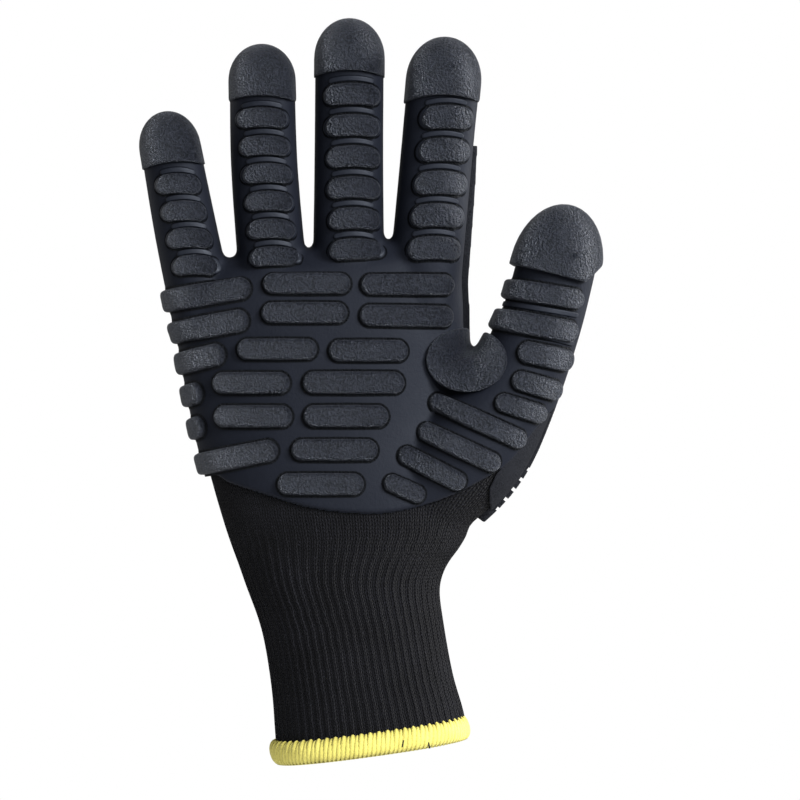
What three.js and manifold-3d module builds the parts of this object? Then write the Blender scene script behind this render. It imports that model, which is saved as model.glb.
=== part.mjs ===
// Anti-vibration work glove, right hand, in the form it has when worn: a hollow knitted shell with a
// ribbed cuff and an overlocked hem, one moulded rubber facing with raised pads over the palm and the
// fronts of the digits, and two rubber guards at the back, on the index finger and on the thumb.
// Millimetres. +X is towards the thumb, -Y is where the palm faces, +Z is towards the fingertips.
// The origin is the middle of the wrist opening.
import * as THREE from "three";
import { mergeVertices } from "three/addons/utils/BufferGeometryUtils.js";
import Module from "manifold-3d";

const wasm = await Module();
wasm.setup();

// Driving dimensions
const knitWall = 1.6;
const fitGap = 0.3; // clearance between two pieces that lie on each other
const skinWall = 1.6;
const padHeight = 2.4;
const guardWalls = { index: 4.6, thumb: 3.4 };
const hemWall = 1.3;
const hemInnerWall = 0.65;
const hemHeight = 8.5;
const hemTilt = 7.8; // degrees, the hem's slope across the wrist in the front view
const knitBottom = 2.1; // how far above the hem's lower face the knit ends
const wristZ = 79; // where the plain knit of the hand becomes the ribbed cuff
const knucklesZ = 142; // where the knuckles' part of the knit begins
const skinBackY = 2.5; // the rubber facing ends this far behind the middle plane
const padBackY = 1;
const guardFrontY = skinBackY + fitGap;
const farOut = 140; // beyond the glove on every side

// Offsets from the knit's outer face
const knitInside = -knitWall;
const skinInside = fitGap;
const skinOutside = skinInside + skinWall;
const padOutside = skinOutside + padHeight;

const digitSides = 10;
const bodySides = 18;
const domeSteps = 3;
const domeTurn = 80; // degrees of the dome's quarter turn before its flat top
const sectionPower = 2.3; // 2 is an ellipse, more is squarer

// The hand's body, from the hem to the finger roots: one row for each section across it.
// x and y are the section's middle, tilt turns it in the front view, in degrees.
const bodyRows = [
  { z: -16, x: 3.0, y: 0, halfWidth: 34.2, halfDepth: 24.8, tilt: hemTilt },
  { z: 8, x: 0.6, y: 0, halfWidth: 34.2, halfDepth: 24.4, tilt: 6 },
  { z: 25, x: -2.3, y: 0, halfWidth: 32.6, halfDepth: 23.8, tilt: 4 },
  { z: 45, x: -5.8, y: 0, halfWidth: 32.6, halfDepth: 22.8, tilt: 2 },
  { z: 60, x: -9.4, y: 0, halfWidth: 34.7, halfDepth: 22.5, tilt: 0 },
  { z: 69, x: -9.2, y: -0.3, halfWidth: 38.1, halfDepth: 22.4, tilt: 0 },
  { z: 78, x: -7.7, y: -0.5, halfWidth: 43.0, halfDepth: 22.2, tilt: 0 },
  { z: 94, x: -9.4, y: -1, halfWidth: 46.2, halfDepth: 21.2, tilt: 0 },
  { z: 120, x: -14.2, y: -0.5, halfWidth: 48.0, halfDepth: 18.0, tilt: 0 },
  { z: 160, x: -18.2, y: -0.5, halfWidth: 50.4, halfDepth: 14.4, tilt: 2 },
  { z: 173, x: -17.6, y: -1, halfWidth: 48.0, halfDepth: 11.2, tilt: 5 },
  { z: 179.5, x: -16.8, y: -1.2, halfWidth: 40.0, halfDepth: 5.0, tilt: 6 },
];

// The digits, from inside the palm to where the rounded tip begins, one row for each section.
const digits = {
  little: [
    { x: -58.8, z: 154, y: 0, halfWidth: 9.8, halfDepth: 10.2 },
    { x: -71.2, z: 217, y: -5, halfWidth: 8.8, halfDepth: 7.8 },
  ],
  ring: [
    { x: -33.5, z: 160, y: 0, halfWidth: 10.6, halfDepth: 11.2 },
    { x: -37.4, z: 208, y: -2.2, halfWidth: 10.2, halfDepth: 9.4 },
    { x: -38.2, z: 241, y: -6.5, halfWidth: 9.9, halfDepth: 8.2 },
  ],
  middle: [
    { x: -7.3, z: 160, y: 0.8, halfWidth: 11.2, halfDepth: 11.4 },
    { x: -6.9, z: 249, y: -6.5, halfWidth: 10.5, halfDepth: 8.6 },
  ],
  index: [
    { x: 18.4, z: 150, y: 0, halfWidth: 11.3, halfDepth: 11.4 },
    { x: 23.7, z: 208, y: -2.2, halfWidth: 11.1, halfDepth: 9.8 },
    { x: 26.8, z: 241, y: -6.5, halfWidth: 11.2, halfDepth: 8.8 },
  ],
  thumb: [
    { x: 14.0, z: 88, y: -2, halfWidth: 19.0, halfDepth: 16.5 },
    { x: 35.6, z: 108, y: -3.5, halfWidth: 19.4, halfDepth: 18.0 },
    { x: 50.0, z: 128, y: -4.5, halfWidth: 15.6, halfDepth: 15.0 },
    { x: 61.5, z: 154, y: -5.5, halfWidth: 12.9, halfDepth: 12.0 },
    { x: 67.0, z: 174, y: -6.5, halfWidth: 12.4, halfDepth: 10.6 },
  ],
};
const tipLengths = { little: 9.4, ring: 10, middle: 11, index: 11, thumb: 17.5 };

// The fingertip caps: the middle of the lower edge in the front view, its tilt in degrees, and how far the
// cap stands out from the knit at the sides, at the front and over the tip.
const caps = {
  little: { x: -70.5, z: 211.0, tilt: 6, side: 2.3, front: 4.6, tip: 4.0 },
  ring: { x: -38.2, z: 234.6, tilt: 0, side: 2.2, front: 4.6, tip: 3.3 },
  middle: { x: -6.9, z: 243.6, tilt: 0, side: 2.2, front: 4.6, tip: 3.5 },
  index: { x: 26.4, z: 234.8, tilt: 0, side: 2.4, front: 4.6, tip: 4.9 },
  thumb: { x: 65.2, z: 171.6, tilt: -14, side: 4.2, front: 5.2, tip: 5.8 },
};
const thumbCapCorner = { x: 77.8, z: 169, tilt: 44 }; // the cut across the thumb cap's outer lower corner

// The finger pads, a row of bars along each finger: their number and their width along the finger, and the
// middle and the length of the topmost bar and of the end bar at the root.
const fingerPadRows = [
  { count: 4, width: 7.6, top: { x: -68, z: 204, length: 18 }, end: { x: -62, z: 175, length: 18 } },
  { count: 6, width: 7.4, top: { x: -38, z: 227.5, length: 20.5 }, end: { x: -34, z: 178, length: 19 } },
  { count: 6, width: 8.1, top: { x: -6, z: 235.8, length: 22.3 }, end: { x: -5, z: 180.5, length: 20.2 } },
  { count: 5, width: 8.8, top: { x: 28, z: 227.7, length: 20.6 }, end: { x: 23.4, z: 181, length: 21 } },
];

// The palm's and the thumb's pads, bars given by the ends of their middle line in the front view.
const palmPads = [
  { x0: -78.0, z0: 161.3, x1: -41.8, z1: 167.0, width: 8.6 },
  { x0: -38.5, z0: 168.1, x1: -6.1, z1: 168.1, width: 8.0 },
  { x0: -2.9, z0: 167.8, x1: 31.7, z1: 167.8, width: 8.0 },
  { x0: -76.0, z0: 149.6, x1: -42.5, z1: 155.6, width: 8.6 },
  { x0: -38.9, z0: 157.7, x1: -6.8, z1: 157.7, width: 8.0 },
  { x0: -3.6, z0: 156.8, x1: 31.7, z1: 156.4, width: 8.2 },
  { x0: -74.0, z0: 138.2, x1: -51.0, z1: 143.6, width: 8.6 },
  { x0: -47.5, z0: 144.7, x1: -17.6, z1: 144.7, width: 8.0 },
  { x0: -14.4, z0: 144.2, x1: 14.8, z1: 144.2, width: 8.2 },
  { x0: -72.0, z0: 126.2, x1: -60.0, z1: 129.6, width: 8.4 },
  { x0: -56.9, z0: 132.7, x1: -27.4, z1: 132.7, width: 8.2 },
  { x0: -23.8, z0: 132.8, x1: 13.7, z1: 132.8, width: 8.4 },
  { x0: -70.0, z0: 113.9, x1: -59.4, z1: 117.6, width: 8.4 },
  { x0: -56.5, z0: 120.8, x1: -27.0, z1: 120.8, width: 8.4 },
  { x0: -23.4, z0: 120.9, x1: 7.9, z1: 120.9, width: 8.4 },
  { x0: -68.0, z0: 102.2, x1: -31.7, z1: 109.4, width: 8.4 },
  { x0: -28.1, z0: 108.9, x1: 4.0, z1: 108.9, width: 8.2 },
  { x0: -32.8, z0: 96.8, x1: -1.1, z1: 96.8, width: 8.2 },
];
const thumbPads = [
  { x0: 42.0, z0: 167.6, x1: 78.0, z1: 161.9, width: 7.8 },
  { x0: 38.0, z0: 157.0, x1: 76.0, z1: 150.3, width: 8.4 },
  { x0: 52.2, z0: 144.4, x1: 74.0, z1: 140.1, width: 8.4 },
  { x0: 50.6, z0: 134.4, x1: 70.0, z1: 129.0, width: 7.6 },
  { x0: 44.1, z0: 126.8, x1: 64.6, z1: 120.5, width: 7.2 },
  { x0: 22.0, z0: 126.8, x1: 57.0, z1: 111.1, width: 7.4 },
  { x0: 17.6, z0: 116.7, x1: 47.8, z1: 102.7, width: 7.4 },
  { x0: 10.8, z0: 108.3, x1: 34.9, z1: 96.2, width: 7.4 },
  { x0: 5.1, z0: 98.6, x1: 20.4, z1: 91.8, width: 6.8 },
];
const webPad = { x: 34.9, z: 141.2, halfWidth: 14, halfHeight: 11, sides: 14 };

// The facing's edge in the front view, along the palm's lower side and up the thumb's outer side.
const facingEdge = [
  { x: -80, z: 101 },
  { x: -57, z: 100.4 },
  { x: -51, z: 97.4 },
  { x: -38.5, z: 93.6 },
  { x: -22.3, z: 88.9 },
  { x: -9, z: 87 },
  { x: 5, z: 86.6 },
  { x: 17, z: 88.6 },
  { x: 28, z: 91.8 },
  { x: 40, z: 97.6 },
  { x: 50.5, z: 104.4 },
  { x: 59.4, z: 115.2 },
  { x: 67.3, z: 128.5 },
  { x: 72.4, z: 139.3 },
  { x: 77.0, z: 160.9 },
  { x: 84, z: 166 },
];

// Solids
function solidFrom(geometry) {
  const bare = geometry.clone();
  bare.deleteAttribute("normal");
  bare.deleteAttribute("uv");
  const merged = mergeVertices(bare, 1e-4);
  return new wasm.Manifold(
    new wasm.Mesh({
      numProp: 3,
      vertProperties: merged.attributes.position.array,
      triVerts: new Uint32Array(merged.index.array),
    }),
  );
}

function geometryFrom(solid) {
  const mesh = solid.getMesh();
  return new THREE.BufferGeometry()
    .setAttribute("position", new THREE.BufferAttribute(mesh.vertProperties, 3))
    .setIndex(new THREE.BufferAttribute(mesh.triVerts, 1));
}

// A closed loft through rings, which are lists of as many Vector3 each, from the start to the end.
function loft(rings) {
  const sides = rings[0].length;
  const points = rings.flat();
  const middleOf = (ring) =>
    ring.reduce((sum, p) => sum.add(p), new THREE.Vector3()).divideScalar(ring.length);
  points.push(middleOf(rings[0]), middleOf(rings.at(-1)));
  const [startMiddle, endMiddle] = [points.length - 2, points.length - 1];
  const lastRing = (rings.length - 1) * sides;
  const faces = [];
  for (let i = 0; i < sides; i++) {
    const next = (i + 1) % sides;
    faces.push(startMiddle, next, i, endMiddle, lastRing + i, lastRing + next);
    for (let r = 0; r < lastRing; r += sides) {
      faces.push(r + i, r + next, r + sides + next, r + i, r + sides + next, r + sides + i);
    }
  }
  return solidFrom(new THREE.BufferGeometry().setFromPoints(points).setIndex(faces));
}

const backward = new THREE.Vector3(0, 1, 0);

// One superellipse ring across the hand or a digit; right is the section's direction in the front view.
function sectionRing(middle, right, halfWidth, halfDepth, sides) {
  const curved = (value) => Math.sign(value) * Math.abs(value) ** (2 / sectionPower);
  return Array.from({ length: sides }, (_, i) => {
    const angle = (2 * Math.PI * i) / sides;
    return middle
      .clone()
      .addScaledVector(right, halfWidth * curved(Math.cos(angle)))
      .addScaledVector(backward, halfDepth * curved(Math.sin(angle)));
  });
}

// The hand's body without the digits, grown by offset.
function bodyForm(offset) {
  const rings = bodyRows.map((row) => {
    const tilt = THREE.MathUtils.degToRad(row.tilt);
    const right = new THREE.Vector3(Math.cos(tilt), 0, Math.sin(tilt));
    const rise = row === bodyRows.at(-1) ? offset : 0;
    const middle = new THREE.Vector3(row.x, row.y, row.z + rise);
    return sectionRing(middle, right, row.halfWidth + offset, row.halfDepth + offset, bodySides);
  });
  return loft(rings);
}

// A digit with a rounded tip, grown by its own amount at the sides, the front, the back and over the tip.
function digitForm(name, { side, front = side, back = side, tip = side }) {
  const rows = digits[name];
  const rings = rows.map((row, i) => {
    const before = rows[Math.max(i - 1, 0)];
    const after = rows[Math.min(i + 1, rows.length - 1)];
    const along = new THREE.Vector3(after.x - before.x, 0, after.z - before.z).normalize();
    return {
      along,
      right: new THREE.Vector3(along.z, 0, -along.x),
      middle: new THREE.Vector3(row.x, row.y + (back - front) / 2, row.z),
      halfWidth: row.halfWidth + side,
      halfDepth: row.halfDepth + (back + front) / 2,
    };
  });
  const last = rings.at(-1);
  const domeLength = tipLengths[name] + tip;
  for (let k = 1; k <= domeSteps; k++) {
    const turn = THREE.MathUtils.degToRad((domeTurn * k) / domeSteps);
    const rise = (domeLength * Math.sin(turn)) / Math.sin(THREE.MathUtils.degToRad(domeTurn));
    rings.push({
      right: last.right,
      middle: last.middle.clone().addScaledVector(last.along, rise),
      halfWidth: last.halfWidth * Math.cos(turn),
      halfDepth: last.halfDepth * Math.cos(turn),
    });
  }
  return loft(
    rings.map((r) => sectionRing(r.middle, r.right, r.halfWidth, r.halfDepth, digitSides)),
  );
}

function handForm(offset) {
  const forms = Object.keys(digits).map((name) => digitForm(name, { side: offset }));
  return wasm.Manifold.union([bodyForm(offset), ...forms]);
}

// The one body of a cut solid that isn't a sliver.
function largestBody(solid) {
  return solid.decompose().reduce((a, b) => (a.volume() > b.volume() ? a : b));
}

// A prism along Y: an outline in the front view, a Shape of x and z, from frontY to backY.
function prism(shape, frontY, backY, curveSegments = 2) {
  const geometry = new THREE.ExtrudeGeometry(shape, {
    depth: backY - frontY,
    bevelEnabled: false,
    curveSegments,
  });
  geometry.rotateX(Math.PI / 2).translate(0, backY, 0);
  return solidFrom(geometry);
}

// A bar's outline in the front view, with round ends.
function barShape({ x0, z0, x1, z1, width }) {
  const angle = Math.atan2(z1 - z0, x1 - x0);
  const radius = width / 2;
  const insetX = radius * Math.cos(angle);
  const insetZ = radius * Math.sin(angle);
  const quarter = Math.PI / 2;
  return new THREE.Shape()
    .absarc(x0 + insetX, z0 + insetZ, radius, angle + quarter, angle + 3 * quarter, false)
    .absarc(x1 - insetX, z1 - insetZ, radius, angle - quarter, angle + quarter, false);
}

function outline(points) {
  return new THREE.Shape(points.map(({ x, z }) => new THREE.Vector2(x, z)));
}

// Everything on the upper side of a tilted line through x, z in the front view.
function above({ x, z, tilt }, lift = 0) {
  const turn = THREE.MathUtils.degToRad(tilt);
  const slope = Math.tan(turn);
  const rise = lift / Math.cos(turn);
  const reach = 2 * farOut;
  return prism(
    outline([
      { x: x - reach, z: z + rise - slope * reach },
      { x: x + reach, z: z + rise + slope * reach },
      { x: x + reach, z: z + 3 * reach },
      { x: x - reach, z: z + 3 * reach },
    ]),
    -farOut,
    farOut,
  );
}

// The knitted shell, hollow and open at the wrist
const knitShell = handForm(0).subtract(handForm(knitInside));

// Where each stall leaves the hand: a line in the front view, and the limits of what it cuts off.
const stallFromZ = 60;
const stallRoots = {
  little: { x: -60, z: 176.4, tilt: 11, fromX: -120, toX: -50.6, toZ: 280 },
  ring: { x: -36, z: 186, tilt: 0, fromX: -50.6, toX: -21.5, toZ: 280 },
  middle: { x: -7, z: 186, tilt: 0, fromX: -21.5, toX: 7.2, toZ: 280 },
  index: { x: 22, z: 186, tilt: 0, fromX: 7.2, toX: 42.5, toZ: 280 },
  thumb: { x: 50, z: 134, tilt: -38, fromX: 36.5, toX: 120, toZ: 205 },
};

function stallRegion(root, lift) {
  const sides = outline([
    { x: root.fromX, z: stallFromZ },
    { x: root.toX, z: stallFromZ },
    { x: root.toX, z: root.toZ },
    { x: root.fromX, z: root.toZ },
  ]);
  return above(root, lift).intersect(prism(sides, -farOut, farOut));
}

const knitParts = {};
let knitPalm = knitShell;
for (const [name, root] of Object.entries(stallRoots)) {
  knitParts[name] = knitShell.intersect(stallRegion(root, fitGap));
  knitPalm = knitPalm.subtract(stallRegion(root, 0));
}

// The hem, overlocked yarn round the cuff's edge: a ring with a U section, open at the top.
const hemBottom = { x: 0, z: 0, tilt: hemTilt };
const cuffTop = { x: 0, z: wristZ, tilt: 0 };
const hemBand = bodyForm(skinInside + hemWall)
  .subtract(bodyForm(knitInside - fitGap - hemInnerWall))
  .intersect(above(hemBottom).subtract(above(hemBottom, hemHeight)));
const hemSlot = bodyForm(fitGap)
  .subtract(bodyForm(knitInside - fitGap))
  .intersect(above(hemBottom, knitBottom - fitGap));
const hem = hemBand.subtract(hemSlot);

const palmTop = { x: 0, z: knucklesZ, tilt: 0 };
knitParts.knuckles = knitPalm.intersect(above(palmTop, fitGap));
knitParts.palm = knitPalm.intersect(above(cuffTop, fitGap)).subtract(above(palmTop));
knitParts.cuff = knitShell
  .intersect(above(hemBottom, knitBottom))
  .subtract(above(cuffTop));

// The rubber facing: a skin, the raised pads and the caps, moulded in one
const facingEnds = { left: { x: -farOut, z: 101 }, right: { x: farOut, z: 190 } }; // out past the hand
const facingOutline = outline([
  ...facingEdge,
  facingEnds.right,
  { x: farOut, z: 2 * farOut },
  { x: -farOut, z: 2 * farOut },
  facingEnds.left,
]);
const facingRegion = prism(facingOutline, -farOut, skinBackY);

function fingerBars({ count, width, top, end }) {
  return Array.from({ length: count }, (_, i) => {
    const share = i / (count - 1);
    const x = THREE.MathUtils.lerp(top.x, end.x, share);
    const z = THREE.MathUtils.lerp(top.z, end.z, share);
    const length = THREE.MathUtils.lerp(top.length, end.length, share);
    return { x0: x - length / 2, z0: z, x1: x + length / 2, z1: z, width };
  });
}

const bars = [...fingerPadRows.flatMap(fingerBars), ...palmPads, ...thumbPads];
const padPrisms = bars.map((bar) => prism(barShape(bar), -farOut, padBackY));
const { x: webX, z: webZ, halfWidth: webWidth, halfHeight: webHeight } = webPad;
const webOval = new THREE.Shape().absellipse(webX, webZ, webWidth, webHeight, 0, 2 * Math.PI, false);
padPrisms.push(prism(webOval, -farOut, padBackY, webPad.sides / 2));

const skin = handForm(skinOutside).intersect(facingRegion);
const pads = handForm(padOutside)
  .intersect(wasm.Manifold.union(padPrisms))
  .intersect(facingRegion);
const capForms = Object.entries(caps).map(([name, cap]) =>
  digitForm(name, { side: cap.side, front: cap.front, tip: cap.tip }).intersect(above(cap)),
);
capForms.push(capForms.pop().intersect(above(thumbCapCorner)));
const facing = largestBody(
  wasm.Manifold.union([skin, pads, ...capForms]).subtract(handForm(skinInside)),
);

// The guards: plates on the back of the index finger and of the thumb, up to the hand's silhouette
function guardPlate(wall, corners) {
  const region = prism(outline(corners), guardFrontY, farOut);
  return largestBody(handForm(fitGap + wall).intersect(region).subtract(handForm(fitGap)));
}

const indexGuard = guardPlate(guardWalls.index, [
  { x: 24.6, z: 218.5 },
  { x: 60.0, z: 218.5 },
  { x: 40.0, z: 147.0 },
  { x: 19.0, z: 147.0 },
]);

const thumbGuardPlate = guardPlate(guardWalls.thumb, [
  { x: 66.0, z: 170.6 },
  { x: 96.0, z: 163.2 },
  { x: 84.0, z: 110.0 },
  { x: 45.0, z: 80.0 },
  { x: 34.0, z: 88.0 },
  { x: 50.0, z: 124.0 },
]);

// The notches along the thumb guard's lower outer edge, between its square teeth.
const teeth = { count: 5, fromX: 57.5, fromZ: 101.7, toX: 46.3, toZ: 87.5, depth: 1.2, gap: 1.3 };
const teethAngle = Math.atan2(teeth.toZ - teeth.fromZ, teeth.toX - teeth.fromX);
const notches = Array.from({ length: teeth.count }, (_, i) => {
  const share = i / (teeth.count - 1);
  const geometry = new THREE.BoxGeometry(teeth.gap, farOut, 2 * teeth.depth)
    .rotateY(-teethAngle)
    .translate(
      THREE.MathUtils.lerp(teeth.fromX, teeth.toX, share),
      0,
      THREE.MathUtils.lerp(teeth.fromZ, teeth.toZ, share),
    );
  return solidFrom(geometry);
});
const thumbGuard = largestBody(thumbGuardPlate.subtract(wasm.Manifold.union(notches)));

// The assembly
const looks = {
  knit: { color: 0x1b1b1d, roughness: 0.95 },
  rubber: { color: 0x2f3038, roughness: 0.72 },
  yarn: { color: 0xe6db52, roughness: 0.85 },
  guard: { color: 0x222226, roughness: 0.8 },
};
const pieces = [
  { name: "knit_cuff", solid: knitParts.cuff, look: looks.knit },
  { name: "knit_palm", solid: knitParts.palm, look: looks.knit },
  { name: "knit_knuckles", solid: knitParts.knuckles, look: looks.knit },
  { name: "knit_little_stall", solid: knitParts.little, look: looks.knit },
  { name: "knit_ring_stall", solid: knitParts.ring, look: looks.knit },
  { name: "knit_middle_stall", solid: knitParts.middle, look: looks.knit },
  { name: "knit_index_stall", solid: knitParts.index, look: looks.knit },
  { name: "knit_thumb_stall", solid: knitParts.thumb, look: looks.knit },
  { name: "rubber_facing", solid: facing, look: looks.rubber },
  { name: "index_guard", solid: indexGuard, look: looks.guard },
  { name: "thumb_guard", solid: thumbGuard, look: looks.guard },
  { name: "hem", solid: hem, look: looks.yarn },
];

const glove = new THREE.Group();
glove.name = "anti_vibration_glove";
for (const { name, solid, look } of pieces) {
  const mesh = new THREE.Mesh(
    geometryFrom(solid),
    new THREE.MeshStandardMaterial({ ...look, metalness: 0 }),
  );
  mesh.name = name;
  glove.add(mesh);
}

export default glove;
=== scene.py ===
# %% [markdown]
# # Anti-vibration glove
# This lesson models a right-hand work glove in its worn form: a black knitted shell with a ribbed cuff
# and a yellow overlocked hem, a moulded rubber facing with raised bars and fingertip caps, and two rubber
# guards at the back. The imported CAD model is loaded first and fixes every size. Lengths in the tables are
# millimetres; the scene itself is in metres. The palm faces -Y, the thumb +X and the fingers +Z.

import math

import bmesh
import bpy
import numpy as np
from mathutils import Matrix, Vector
from mathutils.bvhtree import BVHTree


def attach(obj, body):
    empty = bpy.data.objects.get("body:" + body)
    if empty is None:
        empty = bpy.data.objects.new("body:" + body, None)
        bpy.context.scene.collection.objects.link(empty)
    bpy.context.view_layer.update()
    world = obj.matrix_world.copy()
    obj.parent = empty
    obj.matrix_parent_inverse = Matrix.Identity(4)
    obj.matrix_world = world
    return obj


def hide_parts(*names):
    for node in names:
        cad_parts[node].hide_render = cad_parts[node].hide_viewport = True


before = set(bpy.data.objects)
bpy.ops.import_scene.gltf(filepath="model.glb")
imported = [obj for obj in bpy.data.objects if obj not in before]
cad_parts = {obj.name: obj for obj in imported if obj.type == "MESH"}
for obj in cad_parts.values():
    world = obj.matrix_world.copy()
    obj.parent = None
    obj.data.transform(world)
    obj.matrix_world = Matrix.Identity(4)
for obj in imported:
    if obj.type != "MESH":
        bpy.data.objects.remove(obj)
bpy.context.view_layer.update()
MM = 0.001
print("CAD nodes:", ", ".join(sorted(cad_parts)))

# %% [markdown]
# ## Camera
# The glove is seen square on from the palm side, with a long lens that keeps the fingers' proportions. The
# picture is 800 pixels wide and shows 288 mm at the glove.

# %% Camera at the photograph's angle
VIEW_MIDDLE = Vector((0.0112, 0, 0.1267))
VIEW_DISTANCE = 1.5
VIEW_WIDTH = 0.288
camera_data = bpy.data.cameras.new("camera")
camera_data.lens = camera_data.sensor_width * VIEW_DISTANCE / VIEW_WIDTH
camera = bpy.data.objects.new("camera", camera_data)
camera.location = VIEW_MIDDLE + Vector((0, -VIEW_DISTANCE, 0))
camera.rotation_euler = (math.radians(90), 0, 0)
bpy.context.scene.collection.objects.link(camera)
bpy.context.scene.camera = camera
print("lens", round(camera_data.lens), "mm")

# %% [markdown]
# ## Sizes
# The tables follow those of the CAD part: sections across the hand's body and along each digit. A row
# gives the section's middle, half its width and depth, and its tilt in the front view. Between the rows
# the sections follow a smooth curve, so a short table is enough for the whole hand.

# %% Section tables
BODY_ROWS = [  # z, x, y, half width, half depth, tilt
    (-16, 3, 0, 34.2, 24.8, 7.8),
    (8, 0.6, 0, 34.2, 24.4, 6),
    (25, -2.3, 0, 32.6, 23.8, 4),
    (45, -5.8, 0, 32.6, 22.8, 2),
    (60, -9.4, 0, 34.7, 22.5, 0),
    (69, -9.2, -0.3, 38.1, 22.4, 0),
    (78, -7.7, -0.5, 43, 22.2, 0),
    (94, -9.4, -1, 46.2, 21.2, 0),
    (120, -14.2, -0.5, 48, 18, 0),
    (160, -18.2, -0.5, 50.4, 14.4, 2),
    (173, -17.6, -1, 48, 11.2, 5),
    (179.5, -16.8, -1.2, 40, 5, 6),
]
DIGIT_ROWS = {  # x, z, y, half width, half depth
    "little": [(-58.8, 154, 0, 9.8, 10.2), (-65.7, 187, -1.6, 9.5, 8.9), (-71.2, 217, -5, 8.8, 7.8)],
    "ring": [(-33.5, 160, 0, 10.6, 11.2), (-37.4, 208, -2.2, 10.2, 9.4), (-38.2, 241, -6.5, 9.9, 8.2)],
    "middle": [(-7.3, 160, 0, 11.2, 11.4), (-7.2, 210, -2, 10.6, 9.8), (-6.9, 249, -6.5, 10.5, 8.6)],
    "index": [(18.4, 150, 0, 11.3, 11.4), (23.7, 208, -2.2, 11.1, 9.8), (26.8, 241, -6.5, 11.2, 8.8)],
    "thumb": [
        (14, 88, -2, 19, 16.5),
        (35.6, 108, -3.5, 19.4, 18),
        (50, 128, -4.5, 15.6, 15),
        (61.5, 154, -5.5, 12.9, 12),
        (67, 174, -6.5, 12.4, 10.6),
    ],
}
TIP_LENGTHS = {"little": 9.4, "ring": 10, "middle": 11, "index": 11, "thumb": 17.5}
KNIT_WALL = 1.6
SKIN_LIFT = 1.9  # the rubber skin's outer face above the knit's
SKIN_WALL = 0.6  # the part of the skin's wall that is modelled
SKIN_BACK_Y = 2.5
FIT_GAP = 0.3
FAR_OUT = 140  # past the glove on any side
PAD_HEIGHT = 2.4
PAD_BACK_Y = 1
HEM_TILT = 7.8
SECTION_POWER = 2.3  # 2 is an ellipse, more is squarer
TUBE_SIDES = 40
RING_STEP = 5  # along a tube between two rings


# %% [markdown]
# ## The hand's form
# Each tube starts as a circle that is extruded ring by ring. Every new ring is moved to its place, turned
# back, scaled to its own width and depth, and turned to its tilt, as one would by hand with E, R and S. A
# digit gets a rounded tip from rings that shrink along a quarter circle. The tubes are then joined, and a
# voxel remesh melts them into one skin with soft valleys between the fingers.


# %% Rings between the table's rows
def smooth_rows(rows, step):
    """The table's rows with more between them, on a Catmull-Rom curve through its values."""
    table = np.array(rows, dtype=float)
    padded = np.vstack([2 * table[0] - table[1], table, 2 * table[-1] - table[-2]])
    fine = []
    for i in range(len(table) - 1):
        before, start, end, after = padded[i], padded[i + 1], padded[i + 2], padded[i + 3]
        count = max(1, round(np.linalg.norm(end[:3] - start[:3]) / step))
        for share in np.arange(count) / count:
            square, cube = share**2, share**3
            fine.append(
                (2 * cube - 3 * square + 1) * start
                + (cube - 2 * square + share) * (end - before) / 2
                + (3 * square - 2 * cube) * end
                + (cube - square) * (after - start) / 2
            )
    return [*fine, table[-1]]


def body_rings(step=RING_STEP):
    """Rings across the hand's body: middle, half width, half depth, tilt."""
    return [((x, y, z), w, d, tilt) for z, x, y, w, d, tilt in smooth_rows(BODY_ROWS, step)]


def digit_rings(name, step=RING_STEP):
    """Rings along a digit up to where its tip begins."""
    rows = smooth_rows([(x, y, z, w, d) for x, z, y, w, d in DIGIT_ROWS[name]], step)
    rings = []
    for i, row in enumerate(rows):
        before, after = rows[max(i - 1, 0)], rows[min(i + 1, len(rows) - 1)]
        lean = math.degrees(math.atan2(before[0] - after[0], after[2] - before[2]))
        rings.append((tuple(row[:3]), row[3], row[4], lean))
    return rings


def tip_rings(ring, length, steps=9, turn=86):
    """Rings that close a tube with a rounded tip of the given length."""
    middle, width, depth, lean = ring
    along = Vector((-math.sin(math.radians(lean)), 0, math.cos(math.radians(lean))))
    rings = []
    for k in range(1, steps + 1):
        angle = math.radians(turn * k / steps)
        at = Vector(middle) + along * length * math.sin(angle)
        rings.append((tuple(at), width * math.cos(angle), depth * math.cos(angle), lean))
    return rings


print("body rings:", len(body_rings()), " thumb rings:", len(digit_rings("thumb")))


# %% The section's outline
def squared(value, power=2 / SECTION_POWER):
    """Pushes the sine or cosine of a circle out towards a square."""
    return np.copysign(np.abs(value) ** power, value)


TYPICAL_ASPECT = 1.35  # width of a section against its depth
all_turns = np.linspace(-np.pi, np.pi, 2001)
outline = np.stack([TYPICAL_ASPECT * squared(np.cos(all_turns)), squared(np.sin(all_turns))], axis=1)
share_at_turn = np.cumsum(np.concatenate([[0], np.linalg.norm(np.diff(outline, axis=0), axis=1)]))
share_at_turn /= share_at_turn[-1]
quarter = float(np.interp(np.pi / 2, all_turns, share_at_turn))
print("a quarter turn ends", round(quarter, 3), "of the way round")


# %% Small helpers for objects
def deselect():
    bpy.ops.object.select_all(action="DESELECT")


def select_only(obj):
    deselect()
    obj.select_set(True)
    bpy.context.view_layer.objects.active = obj


def edit_all():
    """Goes into edit mode with everything selected."""
    bpy.ops.object.mode_set(mode="EDIT")
    bpy.ops.mesh.select_all(action="SELECT")


def end_edit():
    """Turns all faces outward and leaves edit mode."""
    bpy.ops.mesh.select_all(action="SELECT")
    bpy.ops.mesh.normals_make_consistent(inside=False)
    bpy.ops.object.mode_set(mode="OBJECT")


def apply_modifier(obj, kind, **settings):
    select_only(obj)
    modifier = obj.modifiers.new(kind.title(), kind)
    for key, value in settings.items():
        setattr(modifier, key, value)
    bpy.ops.object.modifier_apply(modifier=modifier.name)


def linked(name, data):
    """A new object in the scene."""
    obj = bpy.data.objects.new(name, data)
    bpy.context.scene.collection.objects.link(obj)
    return obj


def copy_of(obj, name):
    return linked(name, obj.data.copy())


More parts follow.
